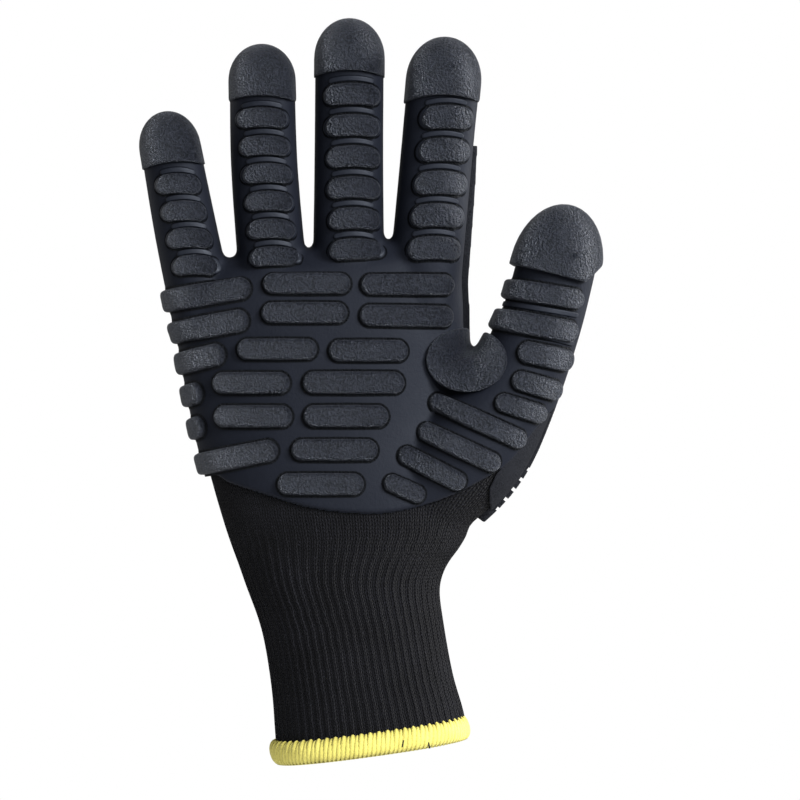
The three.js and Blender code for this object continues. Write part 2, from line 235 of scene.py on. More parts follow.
def joined(name, objects):
    deselect()
    for obj in objects:
        obj.select_set(True)
    bpy.context.view_layer.objects.active = objects[0]
    if len(objects) > 1:
        bpy.ops.object.join()
    objects[0].name = name
    return objects[0]


def drop(obj):
    bpy.data.objects.remove(obj)


def read(items, key, width=1, kind=float):
    """One value, or a row of them, for each item of a mesh."""
    flat = np.empty(width * len(items), dtype=kind)
    items.foreach_get(key, flat)
    return flat.reshape(-1, width) if width > 1 else flat


def positions(mesh):
    return read(mesh.vertices, "co", 3)


def vertex_normals(mesh):
    return read(mesh.vertex_normals, "vector", 3)


def move_to(mesh, points):
    mesh.vertices.foreach_set("co", np.asarray(points, dtype=float).ravel())
    mesh.update()


def mark(mesh, name, values):
    """Keeps one number per vertex, for the material to read."""
    attribute = mesh.attributes.new(name, "FLOAT", "POINT")
    attribute.data.foreach_set("value", np.asarray(values, dtype=float))


def bisect(obj, point, normal, fill=True):
    """Cuts the object's mesh at a plane and clears what lies on the normal's side."""
    select_only(obj)
    edit_all()
    bpy.ops.mesh.bisect(plane_co=point, plane_no=normal, use_fill=fill, clear_outer=True)
    bpy.ops.object.mode_set(mode="OBJECT")


def smooth_shaded(obj, angle=50):
    select_only(obj)
    bpy.ops.object.shade_smooth_by_angle(angle=math.radians(angle))


# %% Tubes by extruding rings
def ring_tube(name, rings, sides=TUBE_SIDES):
    """A closed tube through rings, by extruding a slightly squared circle with even sides."""
    deselect()
    bpy.ops.mesh.primitive_circle_add(vertices=sides, radius=1, fill_type="NGON")
    tube = bpy.context.active_object
    tube.name = name
    for vertex in tube.data.vertices:
        share = math.atan2(vertex.co.y, vertex.co.x) / (2 * math.pi) + 0.5
        turn = np.interp(share, share_at_turn, all_turns)
        vertex.co.xy = squared(math.cos(turn)), squared(math.sin(turn))
    edit_all()
    middle, width, depth, tilt = rings[0]
    bpy.ops.transform.resize(value=(width * MM, depth * MM, 1), center_override=(0, 0, 0))
    bpy.ops.transform.rotate(value=math.radians(tilt), orient_axis="Y", center_override=(0, 0, 0))
    bpy.ops.transform.translate(value=Vector(middle) * MM)
    for ring in rings[1:]:
        at = Vector(ring[0]) * MM
        step = at - Vector(middle) * MM
        bpy.ops.mesh.extrude_region_move(TRANSFORM_OT_translate={"value": step})
        bpy.ops.transform.rotate(value=-math.radians(tilt), orient_axis="Y", center_override=at)
        bpy.ops.transform.resize(value=(ring[1] / width, ring[2] / depth, 1), center_override=at)
        bpy.ops.transform.rotate(value=math.radians(ring[3]), orient_axis="Y", center_override=at)
        middle, width, depth, tilt = ring
    end_edit()
    return tube


# %% The hand as one smooth body
HAND_VOXEL = 0.9
tubes = [ring_tube("hand_form", body_rings())]
for name in DIGIT_ROWS:
    rings = digit_rings(name)
    tubes.append(ring_tube(f"form_{name}", rings + tip_rings(rings[-1], TIP_LENGTHS[name])))
hand_form = joined("hand_form", tubes)
apply_modifier(hand_form, "REMESH", mode="VOXEL", voxel_size=HAND_VOXEL * MM)
apply_modifier(hand_form, "SMOOTH", factor=0.5, iterations=14)

WEB_MIDDLE = Vector((37, 0, 139)) * MM  # the web between thumb and index finger is a wide soft saddle
WEB_REACH = 21 * MM


def soften_web(obj, iterations):
    """Smooths the web between thumb and index finger, less and less towards its edge."""
    web = obj.vertex_groups.new(name="web")
    for vertex in obj.data.vertices:
        near = 1 - (Vector((vertex.co.x, 0, vertex.co.z)) - WEB_MIDDLE).length / WEB_REACH
        if near > 0:
            web.add([vertex.index], min(1, 2 * near), "REPLACE")
    apply_modifier(obj, "SMOOTH", factor=0.5, iterations=iterations, vertex_group="web")


soften_web(hand_form, 90)
print("hand form:", len(hand_form.data.polygons), "faces")


# %% Forms that stand off the hand
def grown_form(name, lift, voxel=HAND_VOXEL):
    """The hand's form with its surface moved out by a lift, as one clean skin."""
    form = copy_of(hand_form, name)
    move_to(form.data, positions(form.data) + lift * MM * vertex_normals(form.data))
    apply_modifier(form, "REMESH", mode="VOXEL", voxel_size=voxel * MM)
    apply_modifier(form, "SMOOTH", factor=0.5, iterations=6)
    return form


class Surface:
    """A mesh to lay things on: its nearest point, with a normal that is blended between its vertices."""

    def __init__(self, obj):
        mesh = obj.data
        self.points = [vertex.co.copy() for vertex in mesh.vertices]
        self.normals = [Vector(n) for n in vertex_normals(mesh)]
        self.faces = [tuple(face.vertices) for face in mesh.polygons]
        self.tree = BVHTree.FromPolygons(self.points, self.faces)

    def blended(self, at, face):
        normal = Vector()
        for i in self.faces[face]:
            normal += self.normals[i] / ((self.points[i] - at).length + HAND_VOXEL * MM / 10)
        return at, normal.normalized()

    def nearest(self, point):
        at, _, face, _ = self.tree.find_nearest(point)
        return self.blended(at, face)

    def hit(self, start, direction):
        at, _, face, _ = self.tree.ray_cast(start, direction)
        return self.blended(at, face) if at else (None, None)

    def seen(self, x, z):
        """The point and normal that a place in the front view shows."""
        return self.hit(Vector((x, -FAR_OUT, z)) * MM, Vector((0, 1, 0)))


skin_form = grown_form("skin_form", SKIN_LIFT)
skin_surface = Surface(skin_form)
print("skin form:", len(skin_form.data.polygons), "faces")

# %% [markdown]
# ## Knitted shell
# The glove is one knitted tube with tubes for the digits. Its wales, the columns of stitches, run along
# each digit and along the hand. So every face of the shell is given to the tube it lies on, and its UV map
# counts wales round that tube and courses along it. The stitches themselves are drawn from these numbers
# by the material, and the cuff's ribs are real relief.

# %% Wales and courses on the shell
WALES = {"body": 128, "little": 40, "ring": 44, "middle": 46, "index": 46, "thumb": 64}
COURSE = 1.3  # height of one stitch row
AXIS_STEP = 2


class Tube:
    """One knitted tube as arrays, to find where on it a point lies."""

    def __init__(self, rings, wales):
        self.middles = np.array([ring[0] for ring in rings])
        self.widths = np.array([ring[1] for ring in rings])
        self.depths = np.array([ring[2] for ring in rings])
        leans = np.radians([ring[3] for ring in rings])
        self.right = np.stack([np.cos(leans), 0 * leans, np.sin(leans)], axis=1)
        self.along = np.stack([-np.sin(leans), 0 * leans, np.cos(leans)], axis=1)
        steps = np.linalg.norm(np.diff(self.middles, axis=0), axis=1)
        self.lengths = np.concatenate([[0], np.cumsum(steps)])
        self.wales = wales

    def place(self, points):
        """For points in millimetres: how far off the tube, share of the way round and length."""
        offsets = np.einsum("nij,ij->ni", points[:, None, :] - self.middles, self.along)
        ring = np.abs(offsets).argmin(axis=1)
        rise = offsets[np.arange(len(points)), ring]
        delta = points - self.middles[ring]
        side = np.einsum("ni,ni->n", delta, self.right[ring]) / self.widths[ring]
        back = delta[:, 1] / self.depths[ring]
        off = np.abs(np.hypot(side, back) - 1) + np.maximum(0, np.abs(rise) - 2 * AXIS_STEP) / 10
        turn = np.arctan2(squared(back, SECTION_POWER / 2), squared(side, SECTION_POWER / 2))
        return off, np.interp(turn, all_turns, share_at_turn), self.lengths[ring] + rise


knit_tubes = {"body": Tube(body_rings(AXIS_STEP), WALES["body"])}
for name in DIGIT_ROWS:
    knit_tubes[name] = Tube(digit_rings(name, AXIS_STEP), WALES[name])


def knit_uv(mesh, tubes):
    """A UV map whose U counts wales and whose V counts courses, each face by the tube it lies on."""
    points = positions(mesh) / MM
    centres = read(mesh.polygons, "center", 3) / MM
    loops = read(mesh.loops, "vertex_index", kind=int)
    face_of_loop = np.repeat(np.arange(len(centres)), read(mesh.polygons, "loop_total", kind=int))
    owner_off = np.full(len(centres), np.inf)
    uv = np.zeros((len(loops), 2))
    for tube in tubes:
        off, share, _ = tube.place(centres)
        nearer = off < owner_off
        owner_off[nearer] = off[nearer]
        mine = nearer[face_of_loop]
        _, loop_share, loop_length = tube.place(points[loops[mine]])
        face_share = share[face_of_loop[mine]]
        uv[mine, 0] = tube.wales * (face_share + (loop_share - face_share + 0.5) % 1 - 0.5)
        uv[mine, 1] = loop_length / COURSE
    layer = mesh.uv_layers.new(name="knit")
    layer.data.foreach_set("uv", uv.ravel())


# %% The hand's part of the shell
KNIT_VOXEL = 1.25
CUFF_TOP = 97
knit_hand = copy_of(hand_form, "knit_hand")
apply_modifier(knit_hand, "REMESH", mode="VOXEL", voxel_size=KNIT_VOXEL * MM)
apply_modifier(knit_hand, "SMOOTH", factor=0.5, iterations=4)
knit_surface = Surface(knit_hand)
bisect(knit_hand, (0, 0, CUFF_TOP * MM), (0, 0, -1), fill=False)
knit_uv(knit_hand.data, knit_tubes.values())
apply_modifier(knit_hand, "SOLIDIFY", thickness=KNIT_WALL * MM, offset=-1)
smooth_shaded(knit_hand)
print("knit hand:", len(knit_hand.data.polygons), "faces")

# %% [markdown]
# ## Ribbed cuff
# The cuff is a rib knit: columns that stand proud with valleys between them, sixty-four round the wrist.
# A tube of rings gives the columns, each vertex is then moved out onto the hand's form, and the ribs rise
# from it and fade where the plain knit of the hand begins.

# %% Cuff with real ribs
RIBS = 64
RIB_COLUMNS = 8
RIB_HEIGHT = 0.5
RIB_FADE = (58, 92)  # the ribs flatten between these heights
CUFF_STEP = 1.6
KNIT_BOTTOM = 2.1  # above the hem's lower face
cuff_sides = RIBS * RIB_COLUMNS


def cuff_rings():
    """Rings from the hem to the top of the cuff, tilted like the hem at the bottom and level at the top."""
    rings = [ring for ring in body_rings(CUFF_STEP) if ring[0][2] < CUFF_TOP + 2]
    low, high = KNIT_BOTTOM, CUFF_TOP + 0.3
    fine = []
    heights = np.array([ring[0][2] for ring in rings])
    values = np.array([[*ring[0][:2], *ring[1:]] for ring in rings])
    for z in np.linspace(low, high, round((high - low) / CUFF_STEP)):
        x, y, w, d, tilt = [np.interp(z, heights, column) for column in values.T]
        fine.append(((x, y, z), w, d, tilt))
    return fine


rings = cuff_rings()
ribbed_cuff = ring_tube("ribbed_cuff", rings, cuff_sides)
points = positions(ribbed_cuff.data)
for i, point in enumerate(points):
    middle = Vector(rings[i // cuff_sides][0]) * MM
    points[i] = knit_surface.hit(middle, (Vector(point) - middle).normalized())[0]
move_to(ribbed_cuff.data, points)

_, share, length = knit_tubes["body"].place(points / MM)
rib_turn = 2 * np.pi * RIBS * share
rib = np.cos(rib_turn)
low, high = RIB_FADE
strength = np.clip((high - points[:, 2] / MM) / (high - low), 0, 1)
strength = strength**2 * (3 - 2 * strength)
relief = RIB_HEIGHT * strength * (0.5 * rib + 0.12 * np.cos(2 * rib_turn) - 0.1)
move_to(ribbed_cuff.data, points + relief[:, None] * MM * vertex_normals(ribbed_cuff.data))

mesh = ribbed_cuff.data
form = bmesh.new()
form.from_mesh(mesh)
bmesh.ops.delete(form, geom=[face for face in form.faces if len(face.verts) > 4], context="FACES_ONLY")
form.to_mesh(mesh)
form.free()
knit_uv(mesh, [knit_tubes["body"]])
apply_modifier(ribbed_cuff, "SOLIDIFY", thickness=KNIT_WALL * MM, offset=-1)
smooth_shaded(ribbed_cuff)
print("cuff:", len(mesh.polygons), "faces in", len(rings), "rings")

# %% [markdown]
# ## Rubber skin
# The facing is moulded onto the knit: a thin skin that follows the hand, with a rounded rim. It is a copy
# of the form that stands off the knit. Near the facing's edge its surface dips in a quarter round, and
# past the edge it goes under the knit, where it is cut off, so the rim is a clean curve.

# %% The facing's edge
FACING_EDGE = [  # x, z in the front view, along the palm's lower side and up the thumb's outer side
    (-80, 101), (-57, 100.4), (-51, 97.4), (-38.5, 93.6), (-22.3, 88.9), (-9, 87), (5, 86.6), (17, 88.6),
    (28, 91.8), (40, 97.6), (50.5, 104.4), (59.4, 115.2), (68, 124), (84, 131), (110, 136),
]
FAR_ENDS = (-FAR_OUT, 101), (FAR_OUT, 190)
RIM_RADIUS = 1.3
RIM_DROP = 2.6
edge_rows = smooth_rows([(x, z, 0) for x, z in FACING_EDGE], 3)
edge_line = np.array([FAR_ENDS[0], *[row[:2] for row in edge_rows], FAR_ENDS[1]])


def inside_facing(points):
    """How far inside the facing's edge each point in millimetres lies, negative outside."""
    flat = points[:, [0, 2]]
    start, end = edge_line[:-1], edge_line[1:]
    run = end - start
    share = np.einsum("nij,ij->ni", flat[:, None] - start, run) / (run**2).sum(axis=1)
    nearest = start + np.clip(share, 0, 1)[..., None] * run
    distance = np.linalg.norm(flat[:, None] - nearest, axis=2).min(axis=1)
    above = flat[:, 1] > np.interp(flat[:, 0], edge_line[:, 0], edge_line[:, 1])
    from_edge = np.where(above, distance, -distance)
    return from_edge, np.minimum(from_edge, SKIN_BACK_Y - points[:, 1])


# %% Skin with its rim
SKIN_VOXEL = 1.05
rubber_skin = copy_of(skin_form, "rubber_skin")
apply_modifier(rubber_skin, "REMESH", mode="VOXEL", voxel_size=SKIN_VOXEL * MM)
apply_modifier(rubber_skin, "SMOOTH", factor=0.5, iterations=3)
mesh = rubber_skin.data
form = bmesh.new()
form.from_mesh(mesh)
form.verts.ensure_lookup_table()
from_edge, inside = inside_facing(positions(mesh) / MM)
near = np.abs(from_edge) < 2 * SKIN_VOXEL
edges = [edge for edge in form.edges if near[edge.verts[0].index] and near[edge.verts[1].index]]
gone = [form.verts[i] for i in np.flatnonzero(inside < -2.5 * SKIN_VOXEL)]
bmesh.ops.delete(form, geom=gone, context="VERTS")
edges = [edge for edge in edges if edge.is_valid]
bmesh.ops.subdivide_edges(form, edges=edges, cuts=1, use_grid_fill=True)
form.to_mesh(mesh)
form.free()
points = positions(mesh)
_, inside = inside_facing(points / MM)
round_in = np.clip(1 - inside / RIM_RADIUS, 0, 1)
drop_depth = RIM_RADIUS * (1 - np.sqrt(1 - round_in**2)) + np.where(inside < 0, RIM_DROP - RIM_RADIUS, 0)
move_to(mesh, points - drop_depth[:, None] * MM * vertex_normals(mesh))
apply_modifier(rubber_skin, "SOLIDIFY", thickness=SKIN_WALL * MM, offset=-1)
smooth_shaded(rubber_skin, 80)
print("rubber skin:", len(mesh.polygons), "faces")

# %% [markdown]
# ## Bars
# The raised bars that soften vibration are all one shape in different lengths: a flat bar with round
# ends, sloping sides, a rounded top edge and a narrow groove round its foot. Painted shade darkens the
# groove and fades out up the sides. One bar is made by hand from a circle and copied. Each copy is
# stretched to its length and laid on the skin along its own line, and where a bar reaches the side of the
# hand it wraps round it. The finger bars sag a little. The same bar, laid lower and narrower, makes the
# lips at their ends and the thin ridges between them.

# %% Tables of bars
FINGER_PADS = [  # count, width, topmost bar x, z, length, end bar x, z, length
    (4, 7.6, (-68, 204, 18), (-62, 175, 18)),
    (6, 7.4, (-38, 227.5, 20.5), (-34, 178, 19)),
    (6, 8.1, (-6, 235.8, 22.3), (-5, 180.5, 20.2)),
    (5, 8.8, (28, 227.7, 20.6), (23.4, 181, 21)),
]
PALM_PADS = [  # x and z of one end, x and z of the other, width
    (-78, 161.3, -41.8, 167, 8.6), (-38.5, 168.1, -6.1, 168.1, 8), (-2.9, 167.8, 31.7, 167.8, 8),
    (-76, 149.6, -42.5, 155.6, 8.6), (-38.9, 157.7, -6.8, 157.7, 8), (-3.6, 156.8, 31.7, 156.4, 8.2),
    (-74, 138.2, -51, 143.6, 8.6), (-47.5, 144.7, -17.6, 144.7, 8), (-14.4, 144.2, 14.8, 144.2, 8.2),
    (-72, 126.2, -60, 129.6, 8.4), (-56.9, 132.7, -27.4, 132.7, 8.2), (-23.8, 132.8, 13.7, 132.8, 8.4),
    (-70, 113.9, -59.4, 117.6, 8.4), (-56.5, 120.8, -27, 120.8, 8.4), (-23.4, 120.9, 7.9, 120.9, 8.4),
    (-68, 102.2, -31.7, 109.4, 8.4), (-28.1, 108.9, 4, 108.9, 8.2), (-32.8, 96.8, -1.1, 96.8, 8.2),
]
THUMB_PADS = [
    (42, 167.6, 78, 161.9, 7.8), (38, 157, 76, 150.3, 8.4), (52.2, 144.4, 74, 140.1, 8.4),
    (50.6, 134.4, 70, 129, 7.6), (44.1, 126.8, 64.6, 120.5, 7.2), (22, 126.8, 57, 111.1, 7.4),
    (17.6, 116.7, 47.8, 102.7, 7.4), (10.8, 108.3, 34.9, 96.2, 7.4), (5.1, 98.6, 20.4, 91.8, 6.8),
]
FINGER_SAG = 1.1  # how far a finger bar's ends hang below its middle
LIP_REACH = 1.1  # a low lip shows past each end of a finger bar
LIP_RISE = 0.45  # its height as a share of a bar's
RIDGE_WIDTH = 2  # the low ridges between the finger bars
RIDGE_RISE = 0.25
RIDGE_INSET = 1.5  # a ridge is this much shorter than its bar at each end
THUMB_RIDGES = [(45.5, 161.7, 76.5, 156.5), (56, 151, 75, 146.2)]


def finger_rows():
    """Each finger bar's ends, height and width, and the height of the ridge above it."""
    for count, width, top, end in FINGER_PADS:
        pitch = (top[1] - end[1]) / (count - 1)
        for x, z, length in np.linspace(top, end, count):
            yield x - length / 2, x + length / 2, z, width, z + pitch / 2


# Rows of x and z of one end, x and z of the other, width, sag and height as a share of a bar's
bars = [(left, z, right, z, width, FINGER_SAG, 1) for left, right, z, width, _ in finger_rows()]
bars += [(*bar, 0, 1) for bar in PALM_PADS + THUMB_PADS]
trims = [(*ridge, RIDGE_WIDTH, 0, RIDGE_RISE) for ridge in THUMB_RIDGES]
for left, right, z, width, above in finger_rows():
    trims.append((left - LIP_REACH, z, right + LIP_REACH, z, width - 1, FINGER_SAG, LIP_RISE))
    low, high = left + RIDGE_INSET, right - RIDGE_INSET
    trims.append((low, above, high, above, RIDGE_WIDTH, FINGER_SAG, RIDGE_RISE))
print(len(bars), "bars,", len(trims), "lips and ridges")

# %% One bar, made flat
MASTER_WIDTH = 8  # the flat bar, before each copy is stretched
MASTER_REACH = 10  # from the middle to where a round end begins
PAD_SUNK = 0.9  # how far a bar reaches into the skin
PAD_ROUND = 1.1  # radius of its top edge
PAD_DRAFT = 0.6  # how far the top edge stands in from the foot
# The groove round a foot is real relief; its dark colour is painted shade.
GROOVE_WIDTH = 0.7  # the dark line round a foot
GROOVE_LIFT = 0.1  # that line above the skin
deselect()
bpy.ops.mesh.primitive_circle_add(vertices=28, radius=MASTER_WIDTH / 2 + GROOVE_WIDTH, fill_type="NGON")
flat_bar = bpy.context.active_object
flat_bar.name = "flat_bar"
for vertex in flat_bar.data.vertices:
    vertex.co.x += math.copysign(MASTER_REACH, vertex.co.x) if abs(vertex.co.x) > 0.01 else 0
    vertex.co.z = -PAD_SUNK
edit_all()
bpy.ops.mesh.extrude_region_move(TRANSFORM_OT_translate={"value": (0, 0, GROOVE_LIFT + PAD_SUNK)})
bpy.ops.mesh.inset(thickness=GROOVE_WIDTH)
bpy.ops.mesh.extrude_region_move(TRANSFORM_OT_translate={"value": (0, 0, PAD_HEIGHT - GROOVE_LIFT)})
half_length, half_width = MASTER_REACH + MASTER_WIDTH / 2, MASTER_WIDTH / 2
draft = (1 - PAD_DRAFT / half_length, 1 - PAD_DRAFT / half_width, 1)
bpy.ops.transform.resize(value=draft, center_override=(0, 0, 0))
bpy.ops.mesh.bevel(offset=PAD_ROUND, segments=4, affect="EDGES")
for x in np.linspace(-MASTER_REACH, MASTER_REACH, 13):
    bpy.ops.mesh.select_all(action="SELECT")
    bpy.ops.mesh.bisect(plane_co=(x, 0, 0), plane_no=(1, 0, 0))
for y in (-2, 0, 2):
    bpy.ops.mesh.select_all(action="SELECT")
    bpy.ops.mesh.bisect(plane_co=(0, y, 0), plane_no=(0, 1, 0))
end_edit()
print("flat bar:", len(flat_bar.data.polygons), "faces, height", flat_bar.dimensions.z)

# %% Bars laid on the skin
MARCH_STEP = 0.5


def march(surface, bar):
    """Points and directions along a bar's middle line on a surface, half a millimetre apart."""
    x0, z0, x1, z1 = bar[:4]
    run = Vector((x1 - x0, 0, z1 - z0)) * MM
    ahead = run.normalized()
    level = Vector((-ahead.z, 0, ahead.x))  # the line stays in the plane across this
    middle = Vector((x0 + x1, 0, z0 + z1)) / 2 * MM
    start = None
    for share in (0.5, 0.75, 0.95):  # a bar on the hand's side is met first near its inner end
        if start is None:
            start, normal = surface.seen(x0 + (x1 - x0) * share, z0 + (z1 - z0) * share)
    stations = [(start, level.cross(normal).normalized())]
    for side in (-1, 1):
        at, out = start, normal
        while True:
            direction = level.cross(out).normalized() * side
            guess = at + direction * MARCH_STEP * MM
            guess -= level * (guess - start).dot(level)
            at, out = surface.nearest(guess)
            top = at + out * PAD_HEIGHT * MM
            past_end = (top - middle).dot(ahead) * side > run.length / 2
            if past_end or at.y > PAD_BACK_Y * MM:
                break
            station = (at, level.cross(out).normalized())
            if side < 0:
                stations.insert(0, station)
            else:
                stations.append(station)
    return stations


def laid_bar(name, bar, surface):
    """A copy of the flat bar, stretched and laid on the surface."""
    stations = march(surface, bar)
    last = len(stations) - 1
    width, sag, rise = bar[4:]
    reach = (last * MARCH_STEP - width) / 2
    piece = copy_of(flat_bar, name)
    for vertex in piece.data.vertices:
        x, y, height = vertex.co
        end = max(0, abs(x) - MASTER_REACH) * width / MASTER_WIDTH
        along = math.copysign(min(abs(x), MASTER_REACH) * reach / MASTER_REACH + end, x)
        place = (along + reach + width / 2) / MARCH_STEP
        i = min(max(int(place), 0), last - 1)
        at = stations[i][0].lerp(stations[i + 1][0], place - i)
        ahead = stations[i][1].lerp(stations[i + 1][1], place - i).normalized()
        _, out = surface.nearest(at)
        across = y * width / MASTER_WIDTH - sag * (along / (reach + width / 2)) ** 2
        foot, normal = surface.nearest(at + out.cross(ahead) * across * MM)
        vertex.co = foot + normal * (height * rise if height > GROOVE_LIFT else height) * MM
    return piece


def laid_rows(name, rows):
    """A piece that joins a table's bars, each laid on the skin."""
    piece = joined(name, [laid_bar(f"{name}_{i}", row, skin_surface) for i, row in enumerate(rows)])
    smooth_shaded(piece, 60)
    return piece


# Painted shade: dark in a bar's groove and at its foot, fading out up its sides to the rounded top.
above_groove = positions(flat_bar.data)[:, 2] - GROOVE_LIFT
mark(flat_bar.data, "painted_shade", np.clip(1 - above_groove / (PAD_HEIGHT - PAD_ROUND), 0, 1))
rubber_bars, rubber_trims = laid_rows("rubber_bars", bars), laid_rows("rubber_trims", trims)
drop(flat_bar)
print("bars and trims:", len(rubber_bars.data.polygons), len(rubber_trims.data.polygons), "faces")

# %% [markdown]
# ## Fingertip caps and the web's pad
# A cap is a thick rounded thimble of the same rubber whose lower edge stands off the skin with a step. It
# is a wider copy of the digit's own tube, cut off at its lower edge and hollowed with the finger, and a
# fine voxel remesh rounds its edges. A wide cylinder cuts the finger caps' edges to an arch, and two caps
# carry a small moulded ring. The pad between thumb and index finger wraps over the web of the hand, so it
# is cut from a form that stands off the skin and whose valley is filled to a smooth saddle. The guards
# are cut from such forms too. The thumb's has a thin flange in front and square teeth along its edge.

# %% Caps
CAPS = {  # x, z and tilt of the lower edge, then how far the cap stands off at the sides, front and tip
    "little": (-70.5, 211, 6, 2.3, 4.6, 4),
    "ring": (-38.2, 234.6, 0, 2.2, 4.6, 3.3),
    "middle": (-6.9, 243.6, 0, 2.2, 4.6, 3.5),
    "index": (26.4, 234.8, 0, 2.4, 4.6, 4.9),
    "thumb": (65.2, 171.6, -14, 4.2, 5.2, 5.8),
}
THUMB_CAP_CORNER = (77.8, 169, 44)  # x, z, tilt of the cut across the outer lower corner
CAP_VOXEL = 0.7


def cut_by(obj, tool, operation):
    apply_modifier(obj, "BOOLEAN", object=tool, operation=operation, solver="MANIFOLD")


def rounded(obj, voxel, iterations):
    apply_modifier(obj, "REMESH", mode="VOXEL", voxel_size=voxel * MM)
    apply_modifier(obj, "SMOOTH", factor=0.5, iterations=iterations)


def paint_foot_shade(obj, reach=1.0):
    """Marks what lies close to the skin, where a raised form meets it, with painted shade that turns it
    dark.
    """
    foot_lift = 0.2
    lifts = []
    for vertex in obj.data.vertices:
        at, normal = skin_surface.nearest(vertex.co)
        lifts.append((vertex.co - at).dot(normal) / MM)
    mark(obj.data, "painted_shade", np.clip(1 - (np.array(lifts) - foot_lift) / reach, 0, 1))


CAP_ARCH = 40  # radius of the arch that a finger cap's lower edge follows
ARCH_RISE = 0.5  # the arch's top lies this far above the edge that CAPS gives


def cap_of(name):
    """A digit's cap: a wider copy of its tube, cut off below and hollowed with the finger."""
    x, z, tilt, side, front, tip = CAPS[name]
    rings = [
        ((middle[0], middle[1] + (side - front) / 2, middle[2]), w + side, d + (side + front) / 2, lean)
        for middle, w, d, lean in digit_rings(name)
    ]
    cap = ring_tube(f"cap_{name}", rings + tip_rings(rings[-1], TIP_LENGTHS[name] + tip))
    cuts = [(x, z, tilt), THUMB_CAP_CORNER] if name == "thumb" else [(x, z - CAP_ARCH / 2, 0)]
    for cut_x, cut_z, cut_tilt in cuts:
        slope = math.radians(cut_tilt)
        bisect(cap, (cut_x * MM, 0, cut_z * MM), (math.sin(slope), 0, -math.cos(slope)))
    if name != "thumb":
        slope = math.radians(tilt)
        reach = CAP_ARCH - ARCH_RISE
        place = Vector((x + reach * math.sin(slope), 0, z - reach * math.cos(slope))) * MM
        deselect()
        bpy.ops.mesh.primitive_cylinder_add(vertices=160, radius=CAP_ARCH * MM, depth=0.1, location=place,
                                            rotation=(math.pi / 2, 0, 0))
        arch = bpy.context.active_object
        cut_by(cap, arch, "DIFFERENCE")
        drop(arch)
    cut_by(cap, hand_form, "DIFFERENCE")
    rounded(cap, CAP_VOXEL, 3)
    return cap


rubber_caps = joined("rubber_caps", [cap_of(name) for name in CAPS])
CAP_PIPS = [(73.1, 177.8), (29.5, 245.2)]  # x and z of the small moulded rings
PIP_RADIUS, PIP_THICK = 1.2, 0.3
cap_surface = Surface(rubber_caps)
pips = []
for x, z in CAP_PIPS:
    at, out = cap_surface.seen(x, z)
    deselect()
    facing = out.to_track_quat("Z", "Y").to_euler()
    bpy.ops.mesh.primitive_torus_add(location=at, rotation=facing, major_segments=24, minor_segments=8,
                                     major_radius=PIP_RADIUS * MM, minor_radius=PIP_THICK * MM)
    pips.append(bpy.context.active_object)
rubber_caps = joined("rubber_caps", [rubber_caps, *pips])
smooth_shaded(rubber_caps, 80)
# Painted shade along the caps' lower edges, where they meet the skin.
paint_foot_shade(rubber_caps)
print("caps:", len(rubber_caps.data.polygons), "faces")

# %% The web's pad and the plates behind the hand
WEB_PAD = (34.9, 141, 14.5, 11.6)  # x, z, half width, half height
WEB_FILL = (33, -7, 131, 18, 12, 13)  # middle and reaches of what fills the web's valley under the pad
INDEX_GUARD = [(24.6, 218.5), (60, 218.5), (40, 147), (19, 147)]
THUMB_GUARD = [(66, 170.6), (96, 163.2), (84, 110), (45, 80), (34, 88), (50, 124)]
GUARD_WALLS = {"index": 4.6, "thumb": 3.4}
GUARD_FRONT_Y = 2.8  # the guards lie behind this, all but the flange
FLANGE_LIFT = 1.2  # the thin flange that shows in front of the thumb guard
FLANGE = [(60, 122), (56, 113.5), (49.5, 105.4), (45.5, 100.5), (42.8, 95), (43.6, 84), (60, 84), (78, 122)]
# The notches between the teeth: where the first and the last lie, and the size of one
NOTCHES = {"count": 5, "start": (58.3, 101.1), "end": (47.1, 86.9), "size": (1.3, 60, 2.6)}


def outline_prism(name, corners, front, back):
    """A prism along Y from an outline in the front view."""
    mesh = bpy.data.meshes.new(name)
    mesh.from_pydata([(x * MM, front * MM, z * MM) for x, z in corners], [], [range(len(corners))])
    prism = linked(name, mesh)
    apply_modifier(prism, "SOLIDIFY", thickness=(back - front) * MM, offset=0)
    move_to(mesh, positions(mesh) + [0, (back - front) / 2 * MM, 0])
    select_only(prism)
    edit_all()
    end_edit()
    return prism


def plate(name, lift, corners, front, back, inner, voxel, iterations, soft=False):
    """What an outline cuts from the form at a lift, down to the inner form, with rounded edges.

    For a soft plate the web's valley is filled and smoothed first.
    """
    form = grown_form(name, lift, voxel=0.8)
    if soft:
        deselect()
        bpy.ops.mesh.primitive_uv_sphere_add(segments=48, ring_count=24, radius=MM, scale=WEB_FILL[3:],
                                             location=Vector(WEB_FILL[:3]) * MM)
        fill = bpy.context.active_object
        cut_by(form, fill, "UNION")
        drop(fill)
        rounded(form, 1.0, 6)
        soften_web(form, 60)
    region = outline_prism("region", corners, front, back)
    cut_by(form, region, "INTERSECT")
    cut_by(form, inner, "DIFFERENCE")
    drop(region)
    rounded(form, voxel, iterations)
    return form


web_x, web_z, web_width, web_height = WEB_PAD
web_outline = []
for turn in np.linspace(0, 2 * np.pi, 40, endpoint=False):
    web_outline.append((web_x + web_width * math.cos(turn), web_z + web_height * math.sin(turn)))
under_skin = grown_form("under_skin", SKIN_LIFT - SKIN_WALL)
rubber_web_pad = plate("rubber_web_pad", SKIN_LIFT + PAD_HEIGHT, web_outline, -FAR_OUT, PAD_BACK_Y,
                       under_skin, voxel=0.5, iterations=26, soft=True)
smooth_shaded(rubber_web_pad, 80)
# Painted shade round the pad's foot, where it meets the skin.
paint_foot_shade(rubber_web_pad, 1.3)
index_lift, thumb_lift = (FIT_GAP + wall for wall in GUARD_WALLS.values())
guard_index = plate("guard_index", index_lift, INDEX_GUARD, GUARD_FRONT_Y, FAR_OUT, hand_form, 0.55, 4)
guard_thumb = plate("guard_thumb", thumb_lift, THUMB_GUARD, GUARD_FRONT_Y, FAR_OUT, hand_form, 0.45, 3)
